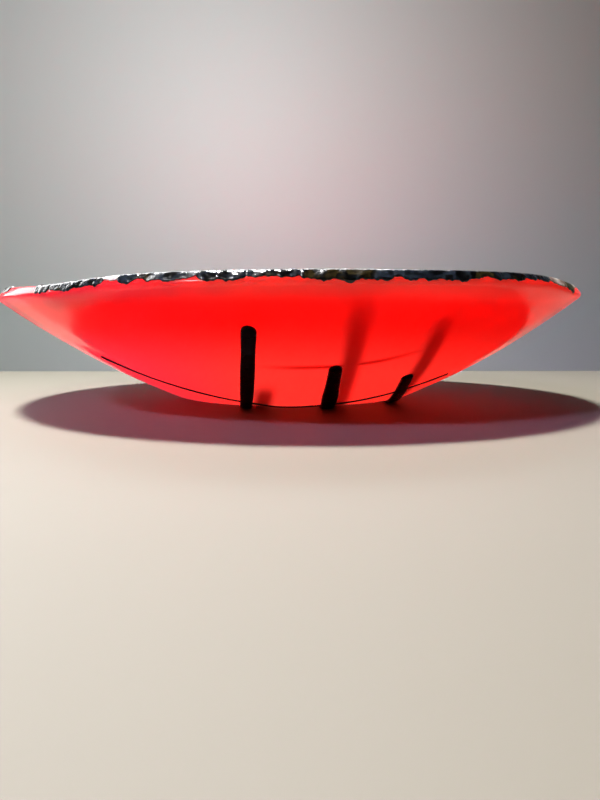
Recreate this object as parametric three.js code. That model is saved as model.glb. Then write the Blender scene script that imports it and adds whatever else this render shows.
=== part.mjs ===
// A round art glass bowl: a sheet of translucent red glass, slumped into a shallow dish,
// with black glass bars and thin stringers fused onto both faces and a rim of black glass pieces.
//
// Millimetres, +Z up. The origin is on the table, under the middle of the bowl, and the front is -Y.
// Every piece is drawn on the flat, round blank first, by its plan position and its depth in the
// glass, and then takes the curve of the dish, as the real blank does in its mould.
import * as THREE from 'three';
import { mergeVertices } from 'three/addons/utils/BufferGeometryUtils.js';

// Driving dimensions.
const blankRadius = 151.8; // of the flat blank: the finished bowl is 150 mm in radius
const footRadius = 62.4; // where the flat bottom turns up into the side
const footBlend = 5; // half the width of that soft turn
const sideRadius = 370.7; // radius of the side's curve, in section
const sideStartSlope = THREE.MathUtils.degToRad(22.7); // the side's slope just above the foot
const glassThickness = 5.7;
const barThickness = 1.1;
const stringerDiameter = 0.8;
const stringerBow = 4.6; // how far the outer stringer swings in to the edge of the foot
const clearance = 0.3; // left between touching pieces

// The rim: the black pieces sit in a rebate along the upper edge of the red sheet.
const rimPieceThickness = 1.15;
const rimPieceInset = 1.3; // how far inside the blank's edge the red sheet ends
const rimOverlap = 6.5; // how far a rim piece reaches in over the red glass
const rimPieceDrop = 4.4; // how far a rim piece hangs down the edge, at its fullest
const jointAngle = 0.24; // open joint between neighbouring rim pieces, in degrees

// The bowl stands on the bars under its bottom.
const footHeight = barThickness + clearance;

const degrees = THREE.MathUtils.degToRad;
const smooth = (value, low, high) => THREE.MathUtils.smoothstep(value, low, high);
const bell = (value, middle, width) => Math.exp(-(((value - middle) / width) ** 2));

// Handmade unevenness of the rim. The angle is 0 at the front and grows towards +X.
function rimWave(angle) {
  const turn = THREE.MathUtils.radToDeg(angle);
  const lean = 1.3 * Math.sin(angle) - 0.3;
  const leftDip = 1.9 * bell(turn, -38, 11);
  const rightRise = 0.9 * bell(turn, 38, 14) - bell(turn, 54, 8);
  return lean - leftDip + rightRise;
}

// Height of the outer face above the flat bottom, at a plan radius.
function sideHeight(radius) {
  const fromCentre = radius - footRadius + sideRadius * Math.sin(sideStartSlope);
  return sideRadius * Math.cos(sideStartSlope) - Math.sqrt(sideRadius ** 2 - fromCentre ** 2);
}

function sectionHeight(radius) {
  const start = footRadius - footBlend;
  const end = footRadius + footBlend;
  if (radius <= start) return 0;
  if (radius >= end) return sideHeight(radius);
  const u = (radius - start) / (end - start);
  const endSlope = (sideHeight(end + 0.01) - sideHeight(end - 0.01)) / 0.02;
  return sideHeight(end) * (3 * u ** 2 - 2 * u ** 3) + endSlope * (end - start) * (u ** 3 - u ** 2);
}

function outerHeight(x, y) {
  const radius = Math.hypot(x, y);
  const upTheSide = Math.max(0, (radius - footRadius) / (blankRadius - footRadius));
  return sectionHeight(radius) + upTheSide ** 2 * rimWave(Math.atan2(x, -y));
}

// Moves a point of the flat blank to its place in the dish: x and y are its plan position, and z
// is its depth in the glass, 0 on the outer face and glassThickness on the inner one.
function slumpPoint(point) {
  const { x, y, z: depth } = point;
  const step = 0.01;
  const slopeX = (outerHeight(x + step, y) - outerHeight(x - step, y)) / (2 * step);
  const slopeY = (outerHeight(x, y + step) - outerHeight(x, y - step)) / (2 * step);
  const inward = new THREE.Vector3(-slopeX, -slopeY, 1).normalize();
  return point.set(x, y, footHeight + outerHeight(x, y)).addScaledVector(inward, depth);
}

// Replaces every vertex by move(vertex), slumps it and closes the mesh again.
function slump(geometry, move) {
  geometry.deleteAttribute('normal');
  geometry.deleteAttribute('uv');
  const position = geometry.attributes.position;
  const point = new THREE.Vector3();
  for (let i = 0; i < position.count; i += 1) {
    point.fromBufferAttribute(position, i);
    move(point);
    slumpPoint(point);
    position.setXYZ(i, point.x, point.y, point.z);
  }
  const closed = mergeVertices(geometry, 1e-3);
  closed.computeVertexNormals();
  return closed;
}

function range(from, to, longestStep) {
  const count = Math.max(1, Math.ceil(Math.abs(to - from) / longestStep));
  return Array.from({ length: count + 1 }, (_, i) => from + ((to - from) * i) / count);
}

// Materials.
function glass(color, roughness, metalness = 0) {
  return new THREE.MeshStandardMaterial({ color, roughness, metalness });
}
const redGlass = glass(0xd8201c, 0.08);
redGlass.transparent = true;
redGlass.opacity = 0.8;
const blackGlass = glass(0x101012, 0.2);
const lustreGlass = glass(0x25272c, 0.28, 0.35);
const creamGlass = glass(0xcdbfae, 0.45);
const oliveGlass = glass(0x5c5a14, 0.35);

const bowl = new THREE.Group();

function add(name, geometry, material) {
  const mesh = new THREE.Mesh(geometry, material);
  mesh.name = name;
  bowl.add(mesh);
}

// The red sheet, with a rounded lower edge and the rebate for the rim pieces.
function redSheet() {
  const edge = blankRadius - rimPieceInset;
  const rebateFloor = glassThickness - rimPieceThickness - clearance;
  const rebateStart = blankRadius - rimOverlap - clearance - 0.2;
  const blendStart = footRadius - footBlend;
  const blendEnd = footRadius + footBlend;
  const underside = [
    0,
    30,
    ...range(blendStart, blendEnd, 2),
    ...range(blendEnd, edge - 1.4, 16).slice(1),
  ];
  const profile = [
    ...underside.map((radius) => [radius, 0]),
    [edge - 0.4, 0.4],
    [edge, 1.4],
    [edge, rebateFloor - 0.8],
    [edge - 0.8, rebateFloor],
    [rebateStart, rebateFloor],
    [rebateStart - 0.4, glassThickness],
    ...underside.filter((radius) => radius < rebateStart - 4).reverse().map((r) => [r, glassThickness]),
  ];
  const points = profile.map(([radius, depth]) => new THREE.Vector2(radius, depth));
  const blank = new THREE.LatheGeometry(points, 72);
  return slump(blank, (p) => p.set(p.x, -p.z, p.y));
}

// A strip of glass: a section, in widths and depths, swept along a route on the blank.
// route(along) gives the plan position, the direction and the scale of the section there.
function strip(section, stations, route) {
  const shape = new THREE.Shape(section.map(([across, depth]) => new THREE.Vector2(across, depth)));
  const steps = stations.length - 1;
  const blank = new THREE.ExtrudeGeometry(shape, { depth: steps, steps, bevelEnabled: false });
  return slump(blank, (p) => {
    const { at, direction, width = 1, sink = 0 } = route(stations[Math.round(p.z)]);
    const across = p.x * width;
    p.set(at.x - direction.y * across, at.y + direction.x * across, p.y + sink);
  });
}

// A bar with rounded ends, on the outer face or on the inner one.
function bar(front, back, width, onInside) {
  const nearFace = onInside ? glassThickness + clearance : -clearance;
  const farFace = nearFace + (onInside ? barThickness : -barThickness);
  const shoulder = (nearFace + farFace) / 2;
  const half = width / 2;
  const section = [
    [-half, nearFace],
    [half, nearFace],
    [half, shoulder],
    [half - 0.8, farFace],
    [0.8 - half, farFace],
    [-half, shoulder],
  ];
  const length = front.distanceTo(back);
  const direction = back.clone().sub(front).normalize();
  const endSteps = [0, 0.4, 1.2, 2.4];
  const stations = [
    ...endSteps,
    ...range(half, length - half, 4),
    ...endSteps.map((step) => length - step).reverse(),
  ];
  return strip(section, stations, (along) => {
    const toEnd = Math.min(along, length - along, half) / half;
    const roundness = Math.max(0.25, Math.sqrt(1 - (1 - toEnd) ** 2));
    return { at: front.clone().addScaledVector(direction, along), direction, width: roundness };
  });
}

// A thin round stringer, which rises over each bar that it crosses. The outer one bows back between
// two bars and crosses them where the side has risen, so that the bowl stands on the bars alone.
function stringer(left, right, crossings, onInside, bow = 0) {
  const outward = onInside ? 1 : -1;
  const radius = stringerDiameter / 2;
  const restDepth = (onInside ? glassThickness : 0) + outward * (clearance + radius);
  const overBar = outward * (barThickness + clearance);
  const section = Array.from({ length: 6 }, (_, i) => {
    const turn = (i * Math.PI) / 3;
    return [radius * Math.cos(turn), restDepth + radius * Math.sin(turn)];
  });
  const length = left.distanceTo(right);
  const direction = right.clone().sub(left).normalize();
  return strip(section, range(0, length, 3), (along) => {
    const at = left.clone().addScaledVector(direction, along);
    at.y += bow * bell(at.x, -2.2, 9);
    const nearest = Math.min(...crossings.map((x) => Math.abs(at.x - x)));
    return { at, direction, sink: overBar * (1 - smooth(nearest, 5, 9.5)) };
  });
}

// One piece of rim glass, hooked over the upper edge of the sheet. Its section is drawn by the
// inset from the rim and the depth; the piece thins and shortens towards both of its ends.
function rimPiece(startAngle, endAngle, drop, reach) {
  const bottom = glassThickness - drop;
  const floor = glassThickness - rimPieceThickness;
  const inner = rimPieceInset - clearance - 0.05;
  const section = [
    [inner, bottom + 0.3],
    [inner, floor],
    [reach, floor],
    [reach - 0.1, floor + 0.7],
    [reach - 1.2, glassThickness + 0.1],
    [1.6, glassThickness + 0.3],
    [0.4, glassThickness - 0.5],
    [0, glassThickness - drop * 0.55],
    [0.5, bottom],
  ];
  const start = startAngle + jointAngle / 2;
  const end = endAngle - jointAngle / 2;
  const shape = new THREE.Shape(section.map(([inset, depth]) => new THREE.Vector2(inset, depth)));
  const steps = Math.max(3, Math.ceil((end - start) / 3.5));
  const blank = new THREE.ExtrudeGeometry(shape, { depth: steps, steps, bevelEnabled: false });
  return slump(blank, (p) => {
    const u = p.z / steps;
    const fullness = 0.72 + 0.28 * Math.sqrt(Math.sin(Math.PI * u));
    const hangs = p.y < floor - 0.01;
    const depth = hangs ? floor - (floor - p.y) * fullness : p.y;
    const inset = p.x > 2 ? 2 + (p.x - 2) * fullness : p.x;
    const angle = degrees(start + (end - start) * u);
    const radius = blankRadius - inset;
    p.set(radius * Math.sin(angle), -radius * Math.cos(angle), depth);
  });
}

const plan = (x, y) => new THREE.Vector2(x, y);

add('red_glass_sheet', redSheet(), redGlass);

add('outer_bar_left', bar(plan(-15.3, -131), plan(-35.5, 88), 5.9, false), blackGlass);
add('outer_bar_middle', bar(plan(17.8, -105.5), plan(14.2, 118), 6.6, false), blackGlass);
add('outer_bar_right', bar(plan(51.3, -83), plan(55.5, 97), 6, false), blackGlass);
const outerCrossings = [-21.5, 16.8, 51.8];
const outerStringer = stringer(plan(-87, -70.6), plan(75, -60.5), outerCrossings, false, stringerBow);
add('outer_stringer', outerStringer, blackGlass);

add('inner_bar_left', bar(plan(-11.4, -86), plan(-32, 121), 6.2, true), blackGlass);
add('inner_bar_middle', bar(plan(24.2, -138), plan(16, 84), 6.4, true), blackGlass);
add('inner_bar_right', bar(plan(57.6, -121), plan(45.5, 104), 6.2, true), blackGlass);
add('inner_stringer', stringer(plan(-30, -106.8), plan(84, -102), [22.9, 56.7], true), blackGlass);

// The rim pieces, from the left round the front to the right: the angles where each one starts and
// ends, how much of the edge it covers, and its glass. The edge is bare from -53 to -41.5 degrees.
const frontPieces = [
  [-58, -53, 0.55, lustreGlass],
  [-41.5, -37.5, 0.95, lustreGlass],
  [-37.5, -26.4, 0.9, lustreGlass],
  [-26.4, -23.6, 0.5, creamGlass],
  [-23.6, -20.6, 0.9, lustreGlass],
  [-20.6, -12.2, 0.8, lustreGlass],
  [-12.2, -5.8, 0.95, lustreGlass],
  [-5.8, 1.1, 0.72, lustreGlass],
  [1.1, 13.2, 1, lustreGlass],
  [13.2, 26.5, 0.92, lustreGlass],
  [26.5, 39, 0.76, lustreGlass],
  [39, 43.5, 0.6, lustreGlass],
  [43.5, 50, 0.8, creamGlass],
  [50, 53.6, 1, oliveGlass],
  [53.6, 57, 0.7, creamGlass],
];

// Round the back the pieces are all black, of uneven lengths, and the edge is bare at both sides.
const backCount = 15;
const [firstBack, lastBack] = [70, 292];
function backStart(i) {
  const uneven = i % backCount === 0 ? 0 : 2.4 * Math.sin(2.3 * i);
  return firstBack + ((lastBack - firstBack) * i) / backCount + uneven;
}
const backPieces = Array.from({ length: backCount }, (_, i) => {
  return [backStart(i), backStart(i + 1), 0.85 + 0.14 * Math.sin(1.7 * i), lustreGlass];
});

[...frontPieces, ...backPieces].forEach(([start, end, cover, material], i) => {
  const name = `rim_piece_${String(i + 1).padStart(2, '0')}`;
  const reach = rimOverlap - 1.2 + 1.2 * Math.sin(1.9 * i);
  add(name, rimPiece(start, end, rimPieceDrop * cover, reach), material);
});

export default bowl;
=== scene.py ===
"""An art glass bowl: a slumped sheet of translucent red glass with black bars, stringers and rim pieces.

Every piece is drawn on the flat, round blank, by its plan position and its depth in the glass (0 on
the outer face, THICKNESS on the inner one), and then takes the curve of the dish. The plan angle is
0 at the front (-Y) and grows towards +X. Lengths are in millimetres until a mesh is made.
"""

import math

import bpy
import numpy as np
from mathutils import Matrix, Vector


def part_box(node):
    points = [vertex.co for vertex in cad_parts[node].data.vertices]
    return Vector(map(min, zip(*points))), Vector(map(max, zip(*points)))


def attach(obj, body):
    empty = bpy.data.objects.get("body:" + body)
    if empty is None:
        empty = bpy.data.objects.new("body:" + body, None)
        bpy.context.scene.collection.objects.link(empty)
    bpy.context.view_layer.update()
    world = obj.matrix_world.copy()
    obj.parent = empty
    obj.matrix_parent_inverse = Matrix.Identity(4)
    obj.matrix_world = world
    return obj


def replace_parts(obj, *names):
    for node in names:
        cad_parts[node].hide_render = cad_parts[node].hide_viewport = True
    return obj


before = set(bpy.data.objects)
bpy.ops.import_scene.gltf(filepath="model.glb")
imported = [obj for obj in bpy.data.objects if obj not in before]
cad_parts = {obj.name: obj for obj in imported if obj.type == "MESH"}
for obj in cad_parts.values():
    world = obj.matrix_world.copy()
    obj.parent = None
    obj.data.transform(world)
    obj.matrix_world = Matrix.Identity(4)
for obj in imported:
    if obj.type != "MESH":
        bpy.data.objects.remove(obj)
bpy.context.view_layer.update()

MM = 0.001

# The dish, as in the CAD model.
BLANK_RADIUS = 151.8
FOOT_RADIUS = 62.4
FOOT_BLEND = 5.0
SIDE_RADIUS = 370.7
SIDE_START = math.radians(22.7)
THICKNESS = 5.7
FOOT_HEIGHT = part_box("red_glass_sheet")[0][2] / MM
BAR_RISE = FOOT_HEIGHT  # the bowl stands on the bars, so they stand this far proud of the glass


def bell(value, middle, width):
    return np.exp(-(((value - middle) / width) ** 2))


def smooth(value, low, high):
    t = np.clip((value - low) / (high - low), 0.0, 1.0)
    return t * t * (3 - 2 * t)


def rim_wave(angle):
    turn = np.degrees(angle)
    lean = 1.3 * np.sin(angle) - 0.3
    left_dip = 1.9 * bell(turn, -38, 11)
    right_rise = 0.9 * bell(turn, 38, 14) - bell(turn, 54, 8)
    return lean - left_dip + right_rise


def side_height(radius):
    from_centre = radius - FOOT_RADIUS + SIDE_RADIUS * math.sin(SIDE_START)
    return SIDE_RADIUS * math.cos(SIDE_START) - np.sqrt(SIDE_RADIUS**2 - from_centre**2)


def section_height(radius):
    start, end = FOOT_RADIUS - FOOT_BLEND, FOOT_RADIUS + FOOT_BLEND
    u = np.clip((radius - start) / (end - start), 0.0, 1.0)
    end_slope = (side_height(end + 0.01) - side_height(end - 0.01)) / 0.02
    turn = side_height(end) * (3 * u**2 - 2 * u**3) + end_slope * (end - start) * (u**3 - u**2)
    return np.where(radius >= end, side_height(np.maximum(radius, end)), turn)


def outer_height(x, y):
    radius = np.hypot(x, y)
    up_the_side = np.maximum(0.0, (radius - FOOT_RADIUS) / (BLANK_RADIUS - FOOT_RADIUS))
    return section_height(radius) + up_the_side**2 * rim_wave(np.arctan2(x, -y))


def slump(x, y, depth):
    """The places in the dish of points of the blank, as an array of x, y, z rows in metres."""
    step = 0.01
    slope_x = (outer_height(x + step, y) - outer_height(x - step, y)) / (2 * step)
    slope_y = (outer_height(x, y + step) - outer_height(x, y - step)) / (2 * step)
    length = np.sqrt(slope_x**2 + slope_y**2 + 1)
    z = FOOT_HEIGHT + outer_height(x, y)
    points = np.stack([x - slope_x / length * depth, y - slope_y / length * depth, z + depth / length], -1)
    return points * MM


def waves(x, y, z, length, seed):
    """Smooth unevenness between about -1 and 1: a sum of sine waves in fixed, mixed directions."""
    rng = np.random.default_rng(seed)
    total = 0.0
    for _ in range(9):
        direction = rng.normal(size=3)
        direction /= np.linalg.norm(direction)
        along = (x * direction[0] + y * direction[1] + z * direction[2]) / length
        total = total + np.sin(2 * math.pi * along * rng.uniform(0.6, 1.6) + rng.uniform(0, 2 * math.pi))
    return total / 3.2


# Mesh building.


def make_object(name, points, faces, slot):
    mesh = bpy.data.meshes.new(name)
    mesh.from_pydata(points.reshape(-1, 3).tolist(), [], faces)
    mesh.validate()
    mesh.shade_smooth()
    mesh.materials.append(GLASS[slot])
    piece = bpy.data.objects.new(name, mesh)
    bpy.context.scene.collection.objects.link(piece)
    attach(piece, "root")
    return piece


def tube_faces(rings, sides):
    """Faces of a closed tube of rings, the first and last of which end in a cap."""
    faces = []
    for i in range(rings - 1):
        for j in range(sides):
            k = (j + 1) % sides
            faces.append((i * sides + j, i * sides + k, (i + 1) * sides + k, (i + 1) * sides + j))
    faces.append(tuple(reversed(range(sides))))
    faces.append(tuple(range((rings - 1) * sides, rings * sides)))
    return faces


# Materials.


def new_material(name):
    material = bpy.data.materials.new(name)
    material.use_nodes = True
    return material, material.node_tree.nodes, material.node_tree.links


def math_node(nodes, links, operation, *values):
    """A math node fed by values, each a number or another node's output. Returns its output."""
    node = nodes.new("ShaderNodeMath")
    node.operation = operation
    for socket, value in zip(node.inputs, values):
        if isinstance(value, (int, float)):
            socket.default_value = value
        else:
            links.new(value, socket)
    return node.outputs[0]


def ease_node(nodes, links, value, low, high, at_low, at_high):
    """A soft step from at_low, where value is low, to at_high, where it is high."""
    node = nodes.new("ShaderNodeMapRange")
    node.interpolation_type = "SMOOTHSTEP"
    links.new(value, node.inputs["Value"])
    for key, number in zip(("From Min", "From Max", "To Min", "To Max"), (low, high, at_low, at_high)):
        node.inputs[key].default_value = number
    return node.outputs["Result"]


def noise_node(nodes, links, scale, detail, stretch=(1, 1, 1)):
    place = nodes.new("ShaderNodeTexCoord")
    fit = nodes.new("ShaderNodeMapping")
    fit.inputs["Scale"].default_value = stretch
    links.new(place.outputs["Object"], fit.inputs["Vector"])
    node = nodes.new("ShaderNodeTexNoise")
    node.inputs["Scale"].default_value = scale
    node.inputs["Detail"].default_value = detail
    links.new(fit.outputs["Vector"], node.inputs["Vector"])
    return node.outputs["Fac"]


def ramp_node(nodes, links, value, stops):
    """A colour ramp over value. stops are (position, colour) pairs."""
    node = nodes.new("ShaderNodeValToRGB")
    elements = node.color_ramp.elements
    while len(elements) < len(stops):
        elements.new(0.5)
    for element, (position, color) in zip(elements, stops):
        element.position = position
        element.color = (*color, 1)
    links.new(value, node.inputs["Fac"])
    return node.outputs["Color"]


def bump_node(nodes, links, height, strength, distance):
    node = nodes.new("ShaderNodeBump")
    node.inputs["Strength"].default_value = strength
    node.inputs["Distance"].default_value = distance
    links.new(height, node.inputs["Height"])
    return node.outputs["Normal"]


# Painted shade: the shadow that the glass on the inner face casts through the red sheet, painted as a
# darker
# base colour on the outer face: the middle line at its front and at its back, half its width, and its
# strength.
SHADES = [
    ((25.4, -144), (22.3, -60), 4.4, 0.15),
    ((58.6, -123), (54.6, -60), 4.2, 0.15),
    ((-10.2, -90), (-14.7, -60), 4.2, 0.15),
]
STRINGER_SHADE = ((-18, -106.2), (72, -102.6), 1.5, 0.14)


# The mask of the painted shade lines, on the outer face only.
def shade_node(nodes, links):
    place = nodes.new("ShaderNodeTexCoord")
    split = nodes.new("ShaderNodeSeparateXYZ")
    links.new(place.outputs["Object"], split.inputs[0])
    x, y = split.outputs["X"], split.outputs["Y"]
    total = 0.0
    for (x0, y0), (x1, y1), half, strength in SHADES:
        slope = (x1 - x0) / (y1 - y0)
        middle = math_node(nodes, links, "MULTIPLY_ADD", y, slope, (x0 - slope * y0) * MM)
        off = math_node(nodes, links, "ABSOLUTE", math_node(nodes, links, "SUBTRACT", x, middle))
        across = ease_node(nodes, links, off, 0.3 * half * MM, 1.5 * half * MM, strength, 0)
        end = ease_node(nodes, links, y, (y0 - 4) * MM, (y0 + 14) * MM, 0, 1)
        line = math_node(nodes, links, "MULTIPLY", across, end)
        total = math_node(nodes, links, "MAXIMUM", total, line)
    (x0, y0), (x1, y1), half, strength = STRINGER_SHADE
    slope = (y1 - y0) / (x1 - x0)
    middle = math_node(nodes, links, "MULTIPLY_ADD", x, slope, (y0 - slope * x0) * MM)
    off = math_node(nodes, links, "ABSOLUTE", math_node(nodes, links, "SUBTRACT", y, middle))
    across = ease_node(nodes, links, off, 0.2 * half * MM, 1.6 * half * MM, strength, 0)
    from_left = ease_node(nodes, links, x, x0 * MM, (x0 + 25) * MM, 0, 1)
    to_right = ease_node(nodes, links, x, (x1 - 40) * MM, x1 * MM, 1, 0)
    ends = math_node(nodes, links, "MULTIPLY", from_left, to_right)
    line = math_node(nodes, links, "MULTIPLY", across, ends)
    total = math_node(nodes, links, "MAXIMUM", total, line)
    facing = nodes.new("ShaderNodeNewGeometry")
    normal = nodes.new("ShaderNodeSeparateXYZ")
    links.new(facing.outputs["Normal"], normal.inputs[0])
    outside = math_node(nodes, links, "LESS_THAN", normal.outputs["Z"], 0.0)
    return math_node(nodes, links, "MULTIPLY", total, outside)


def red_glass():
    material, nodes, links = new_material("red_glass")
    shader = nodes["Principled BSDF"]
    cloud = noise_node(nodes, links, 14, 3)
    color = ramp_node(nodes, links, cloud, [(0.3, (0.88, 0.004, 0.006)), (0.7, (0.95, 0.009, 0.008))])
    # Painted shade: the base colour darkens towards a dark red along the painted shade lines.
    shaded = nodes.new("ShaderNodeMix")
    shaded.data_type = "RGBA"
    shade = shade_node(nodes, links)
    links.new(shade, shaded.inputs["Factor"])
    links.new(color, shaded.inputs["A"])
    shaded.inputs["B"].default_value = (0.12, 0.001, 0.001, 1)
    links.new(shaded.outputs["Result"], shader.inputs["Base Color"])
    place = nodes.new("ShaderNodeTexCoord")
    split = nodes.new("ShaderNodeSeparateXYZ")
    links.new(place.outputs["Object"], split.inputs[0])
    # Painted glow: emission stands in for the key light shining through the red glass. It is strongest low
    # down and at the rim's edge, its tint changes from left to right, and it is cut out under the painted
    # shade lines.
    low_down = ease_node(nodes, links, split.outputs["Z"], 0.018, 0.042, 0.5, 0.03)
    painted_edge_glow = ease_node(nodes, links, split.outputs["Z"], 0.0465, 0.0525, 0, 0.32)
    outside_painted_shade = math_node(nodes, links, "MULTIPLY_ADD", shade, -6.0, 1.0)
    to_right = ease_node(nodes, links, split.outputs["X"], -0.14, 0.14, 0, 1)
    painted_glow_tints = [
        (0.0, (1, 0.035, 0.12)),
        (0.4, (1, 0.075, 0.055)),
        (0.75, (1, 0.06, 0.04)),
        (1.0, (1, 0.03, 0.02)),
    ]
    links.new(ramp_node(nodes, links, to_right, painted_glow_tints), shader.inputs["Emission Color"])
    painted_glow_strength = math_node(nodes, links, "ADD", low_down, painted_edge_glow)
    links.new(math_node(nodes, links, "MULTIPLY", painted_glow_strength, outside_painted_shade), shader.inputs["Emission Strength"])
    shader.inputs["Subsurface Weight"].default_value = 1.0
    shader.inputs["Subsurface Radius"].default_value = (1.0, 0.06, 0.04)
    shader.inputs["Subsurface Scale"].default_value = 0.012
    shader.inputs["Roughness"].default_value = 0.14
    shader.inputs["IOR"].default_value = 1.33
    shader.inputs["Specular IOR Level"].default_value = 0.3
    ripple = noise_node(nodes, links, 90, 2)
    links.new(bump_node(nodes, links, ripple, 0.12, 0.0004), shader.inputs["Normal"])
    return material


def other_glass(name, stops, roughness, specular, metallic=0.0, scale=60, relief=0.25):
    """Opaque glass: a cloudy colour over stops, a roughness that varies and a fine relief."""
    material, nodes, links = new_material(name)
    shader = nodes["Principled BSDF"]
    cloud = noise_node(nodes, links, scale, 4)
    links.new(ramp_node(nodes, links, cloud, stops), shader.inputs["Base Color"])
    patches = noise_node(nodes, links, scale * 1.7, 3)
    rough = ease_node(nodes, links, patches, 0.35, 0.65, roughness[0], roughness[1])
    links.new(rough, shader.inputs["Roughness"])
    shader.inputs["Metallic"].default_value = metallic
    shader.inputs["IOR"].default_value = 1.5
    shader.inputs["Specular IOR Level"].default_value = specular
    grain = noise_node(nodes, links, 420, 3)
    links.new(bump_node(nodes, links, grain, relief, 0.0005), shader.inputs["Normal"])
    return material


BLACK = [(0.3, (0.0004, 0.0004, 0.0005)), (0.7, (0.0014, 0.0013, 0.0013))]
LUSTRE = [
    (0.36, (0.0005, 0.0005, 0.0006)),
    (0.47, (0.0100, 0.0150, 0.0200)),
    (0.50, (0.0015, 0.0015, 0.0015)),
    (0.56, (0.0006, 0.0006, 0.0006)),
    (0.60, (0.0200, 0.0150, 0.0040)),
    (0.66, (0.0020, 0.0015, 0.0010)),
]
CREAM = [(0.38, (0.10, 0.05, 0.04)), (0.5, (0.30, 0.25, 0.20)), (0.62, (0.42, 0.38, 0.34))]
OLIVE = [(0.38, (0.010, 0.010, 0.001)), (0.62, (0.090, 0.095, 0.010))]
GLASS = {
    "red_glass": red_glass(),
    "black_glass": other_glass("black", BLACK, (0.2, 0.4), 0.08),
    "lustre_glass": other_glass("lustre", LUSTRE, (0.08, 0.26), 0.5, 0.0, 130, 0.7),
    "cream_glass": other_glass("cream", CREAM, (0.3, 0.5), 0.4, 0.0, 160, 0.3),
    "olive_glass": other_glass("olive", OLIVE, (0.2, 0.4), 0.5, 0.0, 130, 0.3),
}


# The red sheet.


def red_sheet():
    edge = BLANK_RADIUS - 1.3
    corner = 1.7
    under = [(r, 0.0) for r in np.linspace(2, FOOT_RADIUS - FOOT_BLEND, 14)]
    under += [(r, 0.0) for r in np.linspace(FOOT_RADIUS - FOOT_BLEND, edge - corner, 70)[1:]]
    turns = np.radians(np.linspace(0, 90, 9))[1:]
    lower_edge = [(edge - corner + corner * math.sin(a), corner - corner * math.cos(a)) for a in turns]
    upper = THICKNESS - corner
    upper_edge = [(edge - corner + corner * math.cos(a), upper + corner * math.sin(a)) for a in turns]
    face = [(r, THICKNESS) for r, _ in reversed(under)]
    profile = np.array(under + lower_edge + upper_edge + face[1:])
    rings, sides = len(profile), 288
    angle = np.linspace(0, 2 * math.pi, sides, endpoint=False)
    radius, depth = profile[:, :1], profile[:, 1:]
    x, y = radius * np.sin(angle), -radius * np.cos(angle)
    depth = depth + 0 * x
    ease = smooth(radius, FOOT_RADIUS, FOOT_RADIUS + 15)
    depth = depth + 0.1 * ease * waves(x, y, depth * 4, 26, 3)
    points = slump(x, y, depth)
    return make_object("red_sheet", points, tube_faces(rings, sides), "red_glass")


sheet = red_sheet()
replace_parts(sheet, "red_glass_sheet")


# Bars and stringers.


BOW_MIDDLE = -2.2  # the x of the outer stringer's swing, between the left and middle bars
BOW_WIDTH = 9


def strip(name, start, end, section, stations, bow=0.0):
    """A strip of glass from start to end on the blank. section(along) gives its across and depth rows.

    bow is how far the strip bows back between the left and middle bars.
    """
    start, end = np.array(start, float), np.array(end, float)
    direction = (end - start) / np.linalg.norm(end - start)
    rows = []
    for along in stations:
        across, depth = section(along)
        at = start + direction * along
        at[1] += bow * bell(at[0], BOW_MIDDLE, BOW_WIDTH)
        rows.append(slump(at[0] - direction[1] * across, at[1] + direction[0] * across, depth))
    points = np.array(rows)
    return make_object(name, points, tube_faces(len(rows), points.shape[1]), "black_glass")


def bar(name, front, back, widths, inside):
    """A bar, widths[0] wide at its front end and widths[1] wide from 45 mm behind it on."""
    length = math.dist(front, back)
    half = widths[0] / 2
    sides = 28
    turn = np.linspace(0, 2 * math.pi, sides, endpoint=False)
    flat = 3.2  # a high power squares the section off, so that the outer face is nearly flat
    across = np.sign(np.cos(turn)) * np.abs(np.cos(turn)) ** (2 / flat)
    rise = np.sign(np.sin(turn)) * np.abs(np.sin(turn)) ** (2 / flat)
    sunk = 0.9
    middle = (BAR_RISE - sunk) / 2
    tall = (BAR_RISE + sunk) / 2

    def section(along):
        to_end = min(along, length - along, half) / half
        roundness = max(0.02, math.sqrt(1 - (1 - to_end) ** 2))
        spread = 1 + (widths[1] / widths[0] - 1) * float(smooth(along, 0, 45))
        wobble = 1 + 0.03 * math.sin(along / 9 + front[0]) + 0.015 * math.sin(along / 3.7)
        height = middle + tall * rise * (0.35 + 0.65 * roundness)
        depth = THICKNESS + height if inside else -height
        return across * half * roundness * spread * wobble, depth

    ends = half * (1 - np.cos(np.linspace(0, math.pi / 2, 10)))
    stations = np.concatenate([ends, np.arange(half + 1, length - half - 0.5, 1.4), (length - ends)[::-1]])
    piece = strip(name, front, back, section, stations)
    if not inside:
        piece.data.flip_normals()
    return piece


STRINGER_RADIUS = 0.4


def stringer(name, left, right, inside, bow):
    radius = STRINGER_RADIUS
    turn = np.linspace(0, 2 * math.pi, 14, endpoint=False)
    rest = THICKNESS + 0.25 if inside else -0.25

    def section(along):
        return radius * np.cos(turn), rest + radius * np.sin(turn)

    return strip(name, left, right, section, np.arange(0, math.dist(left, right), 0.9), bow)


BARS = {
    "outer_bar_left": ((-15.3, -131), (-35.5, 88), (5.8, 6.0), False),
    "outer_bar_middle": ((17.8, -105.5), (14.2, 118), (5.6, 7.5), False),
    "outer_bar_right": ((51.3, -83), (55.5, 97), (4.9, 7.2), False),
    "inner_bar_left": ((-11.4, -86), (-32, 121), (6.2, 6.2), True),
    "inner_bar_middle": ((24.2, -138), (16, 84), (6.4, 6.4), True),
    "inner_bar_right": ((57.6, -121), (45.5, 104), (6.2, 6.2), True),
}
for node, (front, back, widths, inside) in BARS.items():
    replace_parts(bar(node + "_glass", front, back, widths, inside), node)

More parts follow.
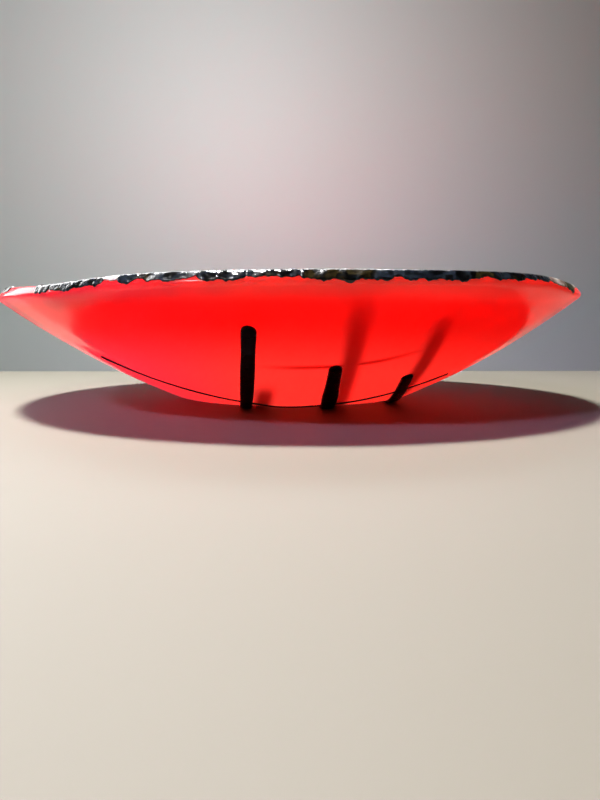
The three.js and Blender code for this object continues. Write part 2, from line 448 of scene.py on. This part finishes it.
STRINGERS = {
    "outer_stringer": ((-87, -70.6), (75, -60.5), False, 4.6),
    "inner_stringer": ((-30, -106.8), (84, -102), True, 0.0),
}
for node, (left, right, inside, bow) in STRINGERS.items():
    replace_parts(stringer(node + "_glass", left, right, inside, bow), node)


# The rim pieces: a skin of black glass over the sheet's upper edge, in lumps with a ragged lower edge.

EDGE_INSET = 1.3  # how far inside the blank's edge the red sheet ends
EDGE_CORNER = 1.7  # radius of the sheet's rounded edges
CORNER_LENGTH = EDGE_CORNER * math.pi / 2
FLAT_LENGTH = THICKNESS - 2 * EDGE_CORNER


def edge_profile(s):
    """Inset, depth and outward normal on the sheet's edge, s mm from where the inner face turns over."""
    s = np.asarray(s, float)
    turn = np.clip(s / EDGE_CORNER, 0, math.pi / 2)
    low_turn = np.clip((s - CORNER_LENGTH - FLAT_LENGTH) / EDGE_CORNER, 0, math.pi / 2)
    total = turn + low_turn
    normal_inset, normal_depth = -np.sin(total), np.cos(total)
    before = np.minimum(s, 0)
    flat = np.clip(s - CORNER_LENGTH, 0, FLAT_LENGTH)
    after = np.maximum(s - 2 * CORNER_LENGTH - FLAT_LENGTH, 0)
    inset = EDGE_INSET + EDGE_CORNER * (2 - np.sin(turn) - np.cos(low_turn)) - before + after
    depth = THICKNESS - EDGE_CORNER * (1 - np.cos(turn)) - flat - EDGE_CORNER * np.sin(low_turn)
    return inset, depth, normal_inset, normal_depth


def rim_piece(index, start, end, cover, reach, slot):
    start, end = start - 0.3, end + 0.3
    rows = max(14, int((end - start) / 0.16))
    u = 0.5 - 0.5 * np.cos(np.linspace(0, math.pi, rows))
    u = 0.5 * u + 0.5 * np.linspace(0, 1, rows)
    angle = np.radians(start + (end - start) * u)
    along = angle * BLANK_RADIUS
    length = along[-1] - along[0]
    to_end = np.minimum(along - along[0], along[-1] - along) / min(2.2, length / 2)
    round_end = np.sqrt(np.clip(1 - (1 - np.minimum(to_end, 1)) ** 2, 0, 1))
    zero = 0 * along
    ragged = waves(along, zero, zero, 8, 11) + 0.5 * waves(along, zero, zero, 2.2, 12)
    bulge = np.sin(math.pi * u) ** 0.6
    low = 1.2 + (4.6 * cover * (0.75 + 0.25 * bulge) + 0.5 * ragged) * (0.3 + 0.7 * round_end)
    lip_wave = waves(along, zero, zero, 11, 13) + 0.5 * waves(along, zero, zero, 4, 14)
    high = -(reach * (0.8 + 0.2 * bulge) + 0.7 * lip_wave) * (0.45 + 0.55 * round_end)
    across = 30
    t = np.linspace(0, 1, across)
    spread = 0.5 - 0.5 * np.cos(math.pi * t)
    s = high[:, None] + (low - high)[:, None] * spread
    inset, depth, n_inset, n_depth = edge_profile(s)
    shape = np.sqrt(np.clip(1 - (2 * t - 1) ** 8, 0, 1))
    on_edge = smooth(s, -1.0, 1.2)
    thins_down = 1 - 0.6 * smooth(t, 0.45, 1)
    thick = (0.12 + 0.58 * on_edge) * thins_down * shape * round_end[:, None]
    grid = along[:, None] + 0 * s
    lumps = waves(grid, s, 0 * s, 6.5, 15) + 0.3 * waves(grid, s, 0 * s, 3, 16)
    low_down = smooth(s, 1.0, 3.2)
    at_front = 1 - 0.7 * smooth(np.abs(np.degrees(angle)), 26, 36)[:, None]
    thick = thick * (1 + 0.22 * lumps * low_down * at_front)
    sunk = 0.5 * shape
    top_i, top_d = inset + n_inset * thick, depth + n_depth * thick
    bottom_i, bottom_d = inset - n_inset * sunk, depth - n_depth * sunk
    loop_i = np.concatenate([top_i, bottom_i[:, -2:0:-1]], 1)
    loop_d = np.concatenate([top_d, bottom_d[:, -2:0:-1]], 1)
    radius = BLANK_RADIUS - loop_i
    x, y = radius * np.sin(angle)[:, None], -radius * np.cos(angle)[:, None]
    points = slump(x, y, loop_d)
    piece = make_object(f"rim_glass_{index:02d}", points, tube_faces(rows, points.shape[1]), slot)
    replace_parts(piece, f"rim_piece_{index:02d}")


FRONT_PIECES = [
    (-58, -53, 0.7, "lustre_glass"),
    (-41.5, -37.5, 0.95, "lustre_glass"),
    (-37.5, -26.4, 0.9, "lustre_glass"),
    (-26.4, -23.6, 0.5, "cream_glass"),
    (-23.6, -20.6, 0.9, "lustre_glass"),
    (-20.6, -12.2, 0.8, "lustre_glass"),
    (-12.2, -5.8, 0.95, "lustre_glass"),
    (-5.8, 1.1, 0.72, "lustre_glass"),
    (1.1, 13.2, 1.0, "lustre_glass"),
    (13.2, 26.5, 0.92, "lustre_glass"),
    (26.5, 39, 0.76, "lustre_glass"),
    (39, 43.5, 0.6, "lustre_glass"),
    (43.5, 50, 0.8, "cream_glass"),
    (50, 53.6, 1.0, "olive_glass"),
    (53.6, 57, 0.5, "cream_glass"),
]
BACK_COUNT = 15


def back_start(i):
    return 70 + i * 222 / BACK_COUNT + (2.4 * math.sin(2.3 * i) if i % BACK_COUNT else 0)


rim = FRONT_PIECES + [
    (back_start(i), back_start(i + 1), 0.85 + 0.14 * math.sin(1.7 * i), "lustre_glass")
    for i in range(BACK_COUNT)
]
for i, (start, end, cover, slot) in enumerate(rim):
    rim_piece(i + 1, start, end, cover, 4.4 + 0.8 * math.sin(1.9 * i), slot)


# The camera, floor, backdrop and lights.


def camera():
    data = bpy.data.cameras.new("camera")
    data.sensor_width = 36
    data.lens = 27.05
    data.clip_start = 0.01
    piece = bpy.data.objects.new("camera", data)
    piece.location = (0, -0.3472, 0.0356 + FOOT_HEIGHT * MM)
    pitch, yaw = math.radians(6.42), math.radians(-0.785)
    piece.rotation_euler = (math.pi / 2 - pitch, 0, yaw)
    bpy.context.scene.collection.objects.link(piece)
    bpy.context.scene.camera = piece


def plain(name, color, roughness, one_sided=False):
    material, nodes, links = new_material(name)
    shader = nodes["Principled BSDF"]
    shader.inputs["Base Color"].default_value = (*color, 1)
    shader.inputs["Roughness"].default_value = roughness
    if one_sided:
        facing = nodes.new("ShaderNodeNewGeometry")
        clear = nodes.new("ShaderNodeBsdfTransparent")
        either = nodes.new("ShaderNodeMixShader")
        links.new(facing.outputs["Backfacing"], either.inputs[0])
        links.new(shader.outputs[0], either.inputs[1])
        links.new(clear.outputs[0], either.inputs[2])
        links.new(either.outputs[0], nodes["Material Output"].inputs["Surface"])
    return material


def slab(name, corners, material):
    mesh = bpy.data.meshes.new(name)
    mesh.from_pydata(corners, [], [(0, 1, 2, 3)])
    mesh.materials.append(material)
    piece = bpy.data.objects.new(name, mesh)
    bpy.context.scene.collection.objects.link(piece)


def area_light(
    name, place, target, size, power, spread=180, color=(1, 1, 1), only_shine=False, shines=True
):
    data = bpy.data.lights.new(name, "AREA")
    data.shape = "RECTANGLE"
    data.size, data.size_y = size
    data.spread = math.radians(spread)
    data.energy = power
    data.color = color
    piece = bpy.data.objects.new(name, data)
    piece.location = place
    piece.rotation_euler = (Vector(target) - Vector(place)).to_track_quat("-Z", "Y").to_euler()
    piece.visible_diffuse = not only_shine
    piece.visible_glossy = shines
    bpy.context.scene.collection.objects.link(piece)


camera()
WALL_TOP = 0.36
WALL_Y = 0.23  # its back is clear, so that it does not hide the bowl from behind
floor_color = plain("floor", (0.114, 0.105, 0.078), 0.7)
wall_color = plain("wall", (0.272, 0.3, 0.297), 0.8, True)
slab("floor", [(-3, -3, 0), (3, -3, 0), (3, 3, 0), (-3, 3, 0)], floor_color)
slab("wall", [(-3, WALL_Y, 0), (3, WALL_Y, 0), (3, WALL_Y, WALL_TOP), (-3, WALL_Y, WALL_TOP)], wall_color)
area_light("key", (-0.46, 0.07, 2.3), (-0.12, -0.1, 0), (0.3, 0.3), 14.6, 44)
area_light("front", (-1.4, -1.6, 1.87), (0, -0.1, 0), (0.3, 0.3), 0.75, 16, (0.75, 0.5, 1), shines=False)
area_light("glint", (-1.4, -1.6, 1.87), (0, -0.1, 0), (0.3, 0.3), 45, only_shine=True)
area_light("wash", (-0.06, -0.2, 0.3), (-0.06, WALL_Y, 0.2), (0.1, 0.1), 1.05, 110, (0.96, 1, 0.99))
area_light("window", (-0.43, 0.2, 0.2), (-0.1, -0.12, 0.06), (0.26, 0.3), 1.3, only_shine=True)
area_light("overhead", (-0.5, 1.05, 1.0), (-0.5, 1.05, 0), (1.9, 0.8), 75, only_shine=True)
world = bpy.data.worlds.new("world")
world.use_nodes = True
world.node_tree.nodes["Background"].inputs["Color"].default_value = (0.9, 0.95, 1, 1)
world.node_tree.nodes["Background"].inputs["Strength"].default_value = 0.01
bpy.context.scene.world = world
bpy.context.scene.view_settings.view_transform = "Standard"
